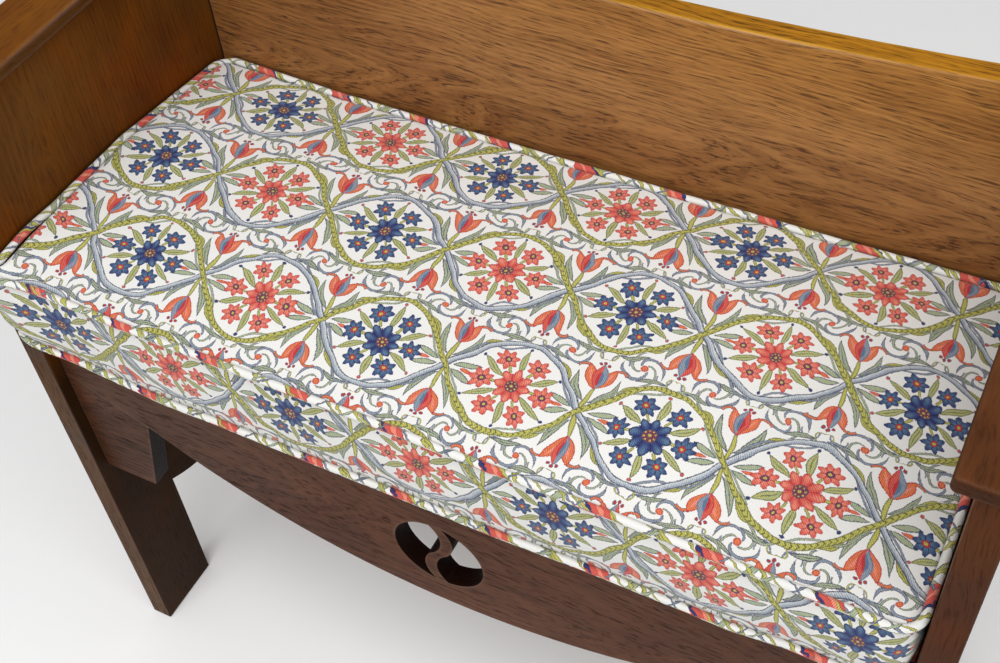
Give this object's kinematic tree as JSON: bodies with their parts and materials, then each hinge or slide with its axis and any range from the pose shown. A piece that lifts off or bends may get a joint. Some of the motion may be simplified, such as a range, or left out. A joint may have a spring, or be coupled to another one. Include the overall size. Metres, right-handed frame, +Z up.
{
  "type": "hall settle",
  "caption": "Small oak hall settle with plank ends, flat arms, bowed front rail with a round pierced motif, and a loose piped box cushion.",
  "frame": {"origin": "on the floor, under the middle of the whole piece", "axes": "+Z up, the front looks along -Y, +X to the right seen from the front"},
  "size_m": [0.854, 0.354, 0.7615],
  "materials": {
    "oak_ends": "waxed oak, mid to dark brown, grain upright",
    "oak_arms": "waxed oak, worn golden brown, grain front to back",
    "oak_back": "waxed oak, mid brown, grain side to side",
    "oak_rail": "waxed oak, dark brown, grain side to side",
    "seat_timber": "bare planed timber",
    "steel": "dull steel",
    "foam": "upholstery foam",
    "cover": "woven flowered cotton",
    "piping": "cord covered in the same woven cotton"
  },
  "bodies": {
    "settle": {"left_end": "oak_ends", "right_end": "oak_ends", "left_arm": "oak_arms", "right_arm": "oak_arms", "back_board": "oak_back", "front_rail": "oak_rail", "rail_roundel_bar": "oak_rail", "left_rail_bracket": "oak_rail", "right_rail_bracket": "oak_rail", "rear_seat_rail": "oak_back", "left_seat_bearer": "seat_timber", "right_seat_bearer": "seat_timber", "centre_seat_bearer": "seat_timber", "seat_board_1": "seat_timber", "seat_board_2": "seat_timber", "seat_board_3": "seat_timber", "seat_board_4": "seat_timber", "front_left_glue_block": "seat_timber", "front_right_glue_block": "seat_timber", "rear_left_glue_block": "seat_timber", "rear_right_glue_block": "seat_timber", "arm_dowels": "seat_timber", "back_board_dowels": "seat_timber", "bracket_dowels": "seat_timber", "bearer_screws": "steel", "seat_board_pins": "steel"},
    "cushion": {"cushion_foam": "foam", "cushion_top_panel": "cover", "cushion_bottom_panel": "cover", "cushion_side_band": "cover", "cushion_top_piping": "piping", "cushion_bottom_piping": "piping"}
  },
  "joints": [
    {"name": "cushion_slide", "type": "slide", "parent": "settle", "child": "cushion", "axis": [0, -1, 0], "range_m": [0, 0.34]}
  ]
}
